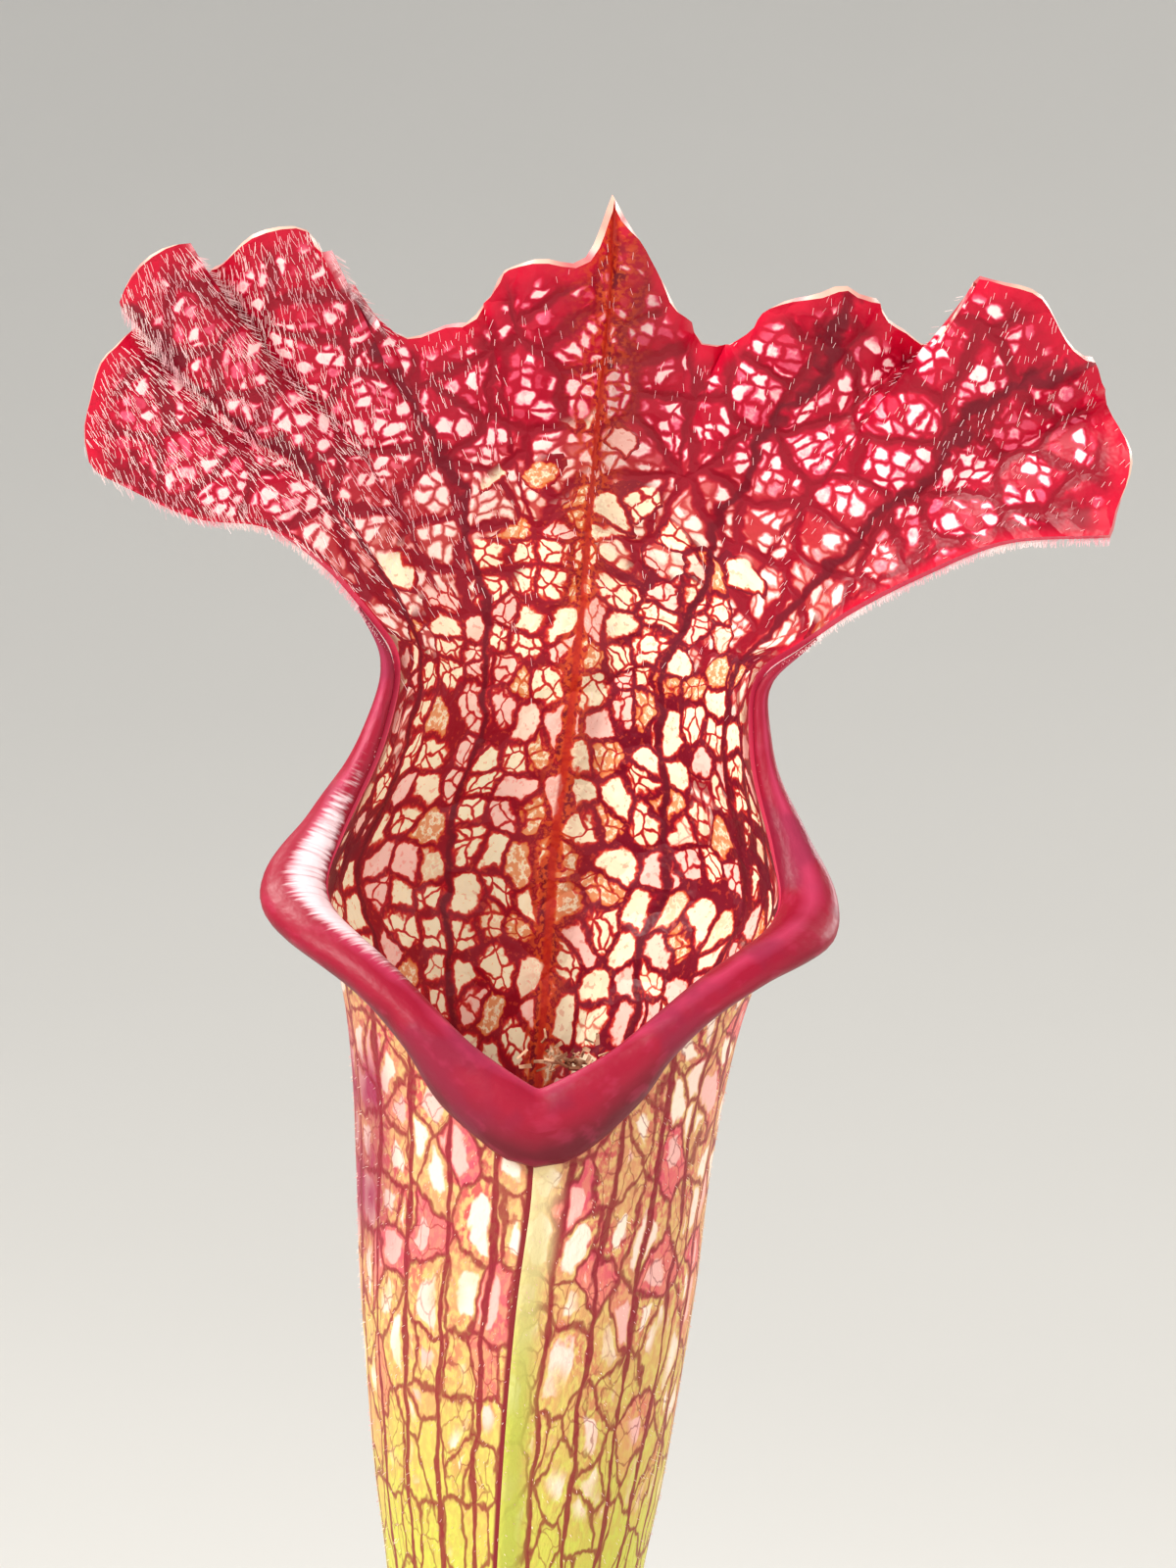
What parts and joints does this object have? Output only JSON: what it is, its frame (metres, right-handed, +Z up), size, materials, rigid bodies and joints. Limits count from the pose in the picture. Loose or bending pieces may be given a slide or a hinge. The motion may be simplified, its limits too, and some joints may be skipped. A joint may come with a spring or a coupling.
{
  "type": "potted sarracenia hybrid",
  "caption": "Pitcher plant hybrid with tall and short hollow ruffled pitchers, a furled young one and flat leaves on a creeping rootstock, growing in a filled round plastic pot.",
  "frame": {"origin": "middle of the pot's foot, on the surface it stands on", "axes": "+Z up along the pot and the tall pitcher, -Y towards the tall pitcher's mouth, +X to the right of someone who looks into it"},
  "size_m": [0.1566, 0.122, 0.3941],
  "materials": {
    "pot": "matt dark moulded plastic, slightly dusty",
    "soil": "damp crumbly peat with white perlite",
    "rootstock": "rough red-brown rootstock with old leaf scars",
    "pitcher": "waxy crimson leaf with cream windows between dark red veins, yellow-green down the tube",
    "young_leaf": "waxy yellow-green young leaf with a red flush",
    "flat_leaf": "waxy green leaf with a paler rib"
  },
  "bodies": {
    "root": {"pot": "pot", "soil": "soil", "rootstock": "rootstock", "pitcher_tall": "pitcher", "pitcher_left": "pitcher", "pitcher_right": "pitcher", "pitcher_front": "pitcher", "pitcher_furled": "young_leaf", "flat_leaf_left": "flat_leaf", "flat_leaf_right": "flat_leaf"}
  },
  "joints": []
}
